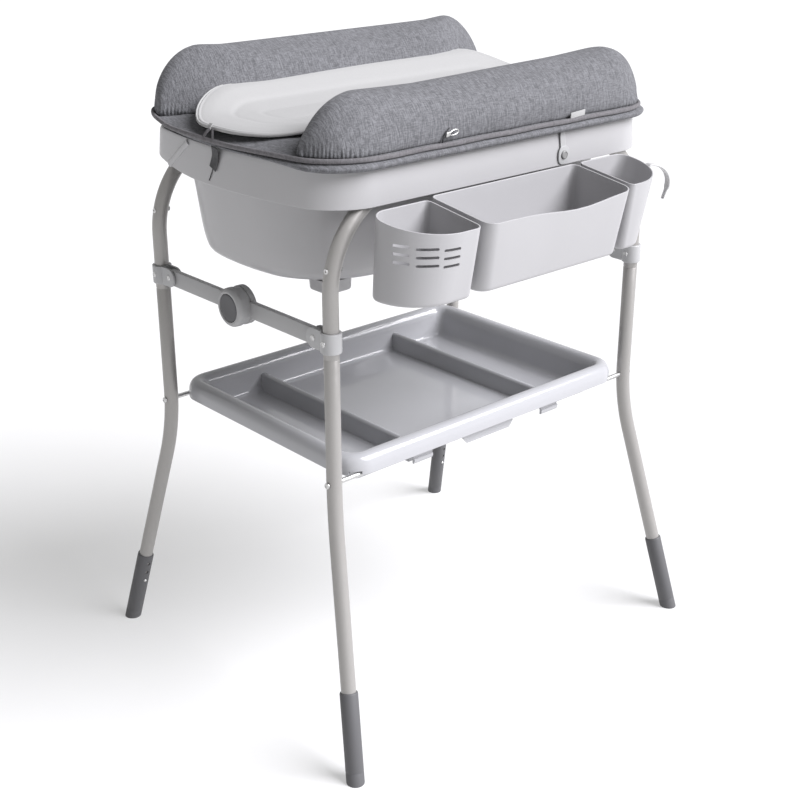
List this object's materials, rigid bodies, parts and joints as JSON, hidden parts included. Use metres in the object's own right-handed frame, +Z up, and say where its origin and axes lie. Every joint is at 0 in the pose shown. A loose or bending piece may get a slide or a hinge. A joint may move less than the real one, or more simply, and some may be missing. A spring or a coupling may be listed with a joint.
{
  "type": "changing table",
  "caption": "Fold-up changing table: splayed tube frame with a bath tub, padded mat with raised sides, lower tray and clip-on containers.",
  "frame": {"origin": "middle of the whole object's footprint box, on the floor", "axes": "+X along the long side, +Y from the containers towards the back, +Z up"},
  "size_m": [0.8092, 0.7089, 1.0519],
  "materials": {
    "frame_paint": "satin pale pearl paint",
    "steel": "satin",
    "pale_plastic": "satin",
    "brace_plastic": "satin",
    "tub_plastic": "satin gloss",
    "tray_plastic": "gloss",
    "container_plastic": "satin gloss",
    "white_plastic": "satin",
    "dark_plastic": "matte",
    "grey_fabric": "melange weave",
    "white_fabric": "soft terry"
  },
  "bodies": {
    "back_frame": {"back_hoop": "frame_paint", "back_tray_rod": "steel", "back_left_leg": "frame_paint", "back_left_bracket": "pale_plastic", "back_left_rod_screw": "steel", "back_left_hoop_bolt": "steel", "back_left_pivot_pin": "steel", "back_right_leg": "frame_paint", "back_right_bracket": "pale_plastic", "back_right_rod_screw": "steel", "back_right_hoop_bolt": "steel", "back_right_pivot_pin": "steel"},
    "front_frame": {"front_hoop": "frame_paint", "front_tray_rod": "steel", "front_left_leg": "frame_paint", "front_left_bracket": "pale_plastic", "front_left_rod_screw": "steel", "front_left_hoop_bolt": "steel", "front_left_pivot_pin": "steel", "front_right_leg": "frame_paint", "front_right_bracket": "pale_plastic", "front_right_rod_screw": "steel", "front_right_hoop_bolt": "steel", "front_right_pivot_pin": "steel"},
    "left_rear_brace": {"left_rear_brace": "brace_plastic"},
    "left_front_brace": {"left_front_brace": "brace_plastic", "left_hub_housing": "brace_plastic", "left_hub_pin": "steel"},
    "left_hub_button": {"left_hub_button": "dark_plastic"},
    "right_rear_brace": {"right_rear_brace": "brace_plastic"},
    "right_front_brace": {"right_front_brace": "brace_plastic", "right_hub_housing": "brace_plastic", "right_hub_pin": "steel"},
    "right_hub_button": {"right_hub_button": "dark_plastic"},
    "front_left_foot": {"front_left_sleeve": "dark_plastic"},
    "front_left_snap": {"front_left_snap_button": "steel"},
    "front_right_foot": {"front_right_sleeve": "dark_plastic"},
    "front_right_snap": {"front_right_snap_button": "steel"},
    "back_left_foot": {"back_left_sleeve": "dark_plastic"},
    "back_left_snap": {"back_left_snap_button": "steel"},
    "back_right_foot": {"back_right_sleeve": "dark_plastic"},
    "back_right_snap": {"back_right_snap_button": "steel"},
    "tub": {"tub": "tub_plastic", "front_left_bar_saddle": "pale_plastic", "front_right_bar_saddle": "pale_plastic", "back_left_bar_saddle": "pale_plastic", "back_right_bar_saddle": "pale_plastic"},
    "drain_plug": {"drain_plug": "dark_plastic"},
    "tray": {"tray": "tray_plastic", "tray_left_clip": "tray_plastic", "tray_right_clip": "tray_plastic", "tray_pull": "tray_plastic"},
    "slotted_cup": {"slotted_cup": "container_plastic"},
    "storage_box": {"storage_box": "container_plastic"},
    "end_cup": {"end_cup": "container_plastic", "towel_hook": "white_plastic"},
    "mat": {"mat_base": "grey_fabric", "front_bolster": "grey_fabric", "back_bolster": "grey_fabric", "liner_pad": "white_fabric"}
  },
  "joints": [
    {"name": "fold", "type": "hinge", "parent": "back_frame", "child": "left_rear_brace", "pos_m": [-0.337, 0.2035, 0.687], "axis": [1, 0, 0], "range_deg": [0, 50]},
    {"name": "left_hub_fold", "type": "hinge", "parent": "left_rear_brace", "child": "left_front_brace", "pos_m": [-0.337, 0.0135, 0.687], "axis": [-1, 0, 0], "range_deg": [0, 100]},
    {"name": "front_frame_fold", "type": "hinge", "parent": "left_front_brace", "child": "front_frame", "pos_m": [-0.337, -0.1765, 0.687], "axis": [1, 0, 0], "range_deg": [0, 50]},
    {"name": "right_brace_fold", "type": "hinge", "parent": "back_frame", "child": "right_rear_brace", "pos_m": [0.337, 0.2035, 0.687], "axis": [1, 0, 0], "range_deg": [0, 50]},
    {"name": "right_hub_fold", "type": "hinge", "parent": "right_rear_brace", "child": "right_front_brace", "pos_m": [0.337, 0.0135, 0.687], "axis": [-1, 0, 0], "range_deg": [0, 100]},
    {"name": "tub_tilt", "type": "hinge", "parent": "back_frame", "child": "tub", "pos_m": [0, 0.2355, 0.905], "axis": [-1, 0, 0], "range_deg": [0, 90]},
    {"name": "tray_tilt", "type": "hinge", "parent": "back_frame", "child": "tray", "pos_m": [0, 0.2355, 0.461], "axis": [-1, 0, 0], "range_deg": [0, 75]},
    {"name": "mat_flip", "type": "hinge", "parent": "tub", "child": "mat", "pos_m": [0, 0.2595, 0.9365], "axis": [-1, 0, 0], "range_deg": [0, 100]},
    {"name": "left_hub_press", "type": "slide", "parent": "left_front_brace", "child": "left_hub_button", "axis": [1, 0, 0], "range_m": [0, 0.004], "stiffness_N_per_m": 800},
    {"name": "right_hub_press", "type": "slide", "parent": "right_front_brace", "child": "right_hub_button", "axis": [-1, 0, 0], "range_m": [0, 0.004], "stiffness_N_per_m": 800},
    {"name": "front_left_foot_slide", "type": "slide", "parent": "front_frame", "child": "front_left_foot", "axis": [-0.1229, -0.2412, -0.9626], "range_m": [0, 0.038]},
    {"name": "front_left_snap_press", "type": "slide", "parent": "front_left_foot", "child": "front_left_snap", "axis": [0.0306, -0.9705, 0.2393], "range_m": [0, 0.0024], "stiffness_N_per_m": 600},
    {"name": "front_right_foot_slide", "type": "slide", "parent": "front_frame", "child": "front_right_foot", "axis": [0.1229, -0.2412, -0.9626], "range_m": [0, 0.038]},
    {"name": "front_right_snap_press", "type": "slide", "parent": "front_right_foot", "child": "front_right_snap", "axis": [-0.0306, -0.9705, 0.2393], "range_m": [0, 0.0024], "stiffness_N_per_m": 600},
    {"name": "back_left_foot_slide", "type": "slide", "parent": "back_frame", "child": "back_left_foot", "axis": [-0.1229, 0.2412, -0.9626], "range_m": [0, 0.038]},
    {"name": "back_left_snap_press", "type": "slide", "parent": "back_left_foot", "child": "back_left_snap", "axis": [0.0306, 0.9705, 0.2393], "range_m": [0, 0.0024], "stiffness_N_per_m": 600},
    {"name": "back_right_foot_slide", "type": "slide", "parent": "back_frame", "child": "back_right_foot", "axis": [0.1229, 0.2412, -0.9626], "range_m": [0, 0.038]},
    {"name": "back_right_snap_press", "type": "slide", "parent": "back_right_foot", "child": "back_right_snap", "axis": [-0.0306, 0.9705, 0.2393], "range_m": [0, 0.0024], "stiffness_N_per_m": 600},
    {"name": "plug_lift", "type": "slide", "parent": "tub", "child": "drain_plug", "axis": [0, 0, 1], "range_m": [0, 0.02]},
    {"name": "slotted_cup_lift", "type": "slide", "parent": "tub", "child": "slotted_cup", "axis": [0, 0, 1], "range_m": [0, 0.03]},
    {"name": "storage_box_lift", "type": "slide", "parent": "tub", "child": "storage_box", "axis": [0, 0, 1], "range_m": [0, 0.03]},
    {"name": "end_cup_lift", "type": "slide", "parent": "tub", "child": "end_cup", "axis": [0, 0, 1], "range_m": [0, 0.03]}
  ],
  "couplings": [
    {"joint": "left_hub_fold", "follows": "fold", "ratio": 2},
    {"joint": "front_frame_fold", "follows": "fold", "ratio": 1},
    {"joint": "right_brace_fold", "follows": "fold", "ratio": 1},
    {"joint": "right_hub_fold", "follows": "fold", "ratio": 2},
    {"joint": "tub_tilt", "follows": "fold", "ratio": 1.8},
    {"joint": "tray_tilt", "follows": "fold", "ratio": 1.5}
  ]
}
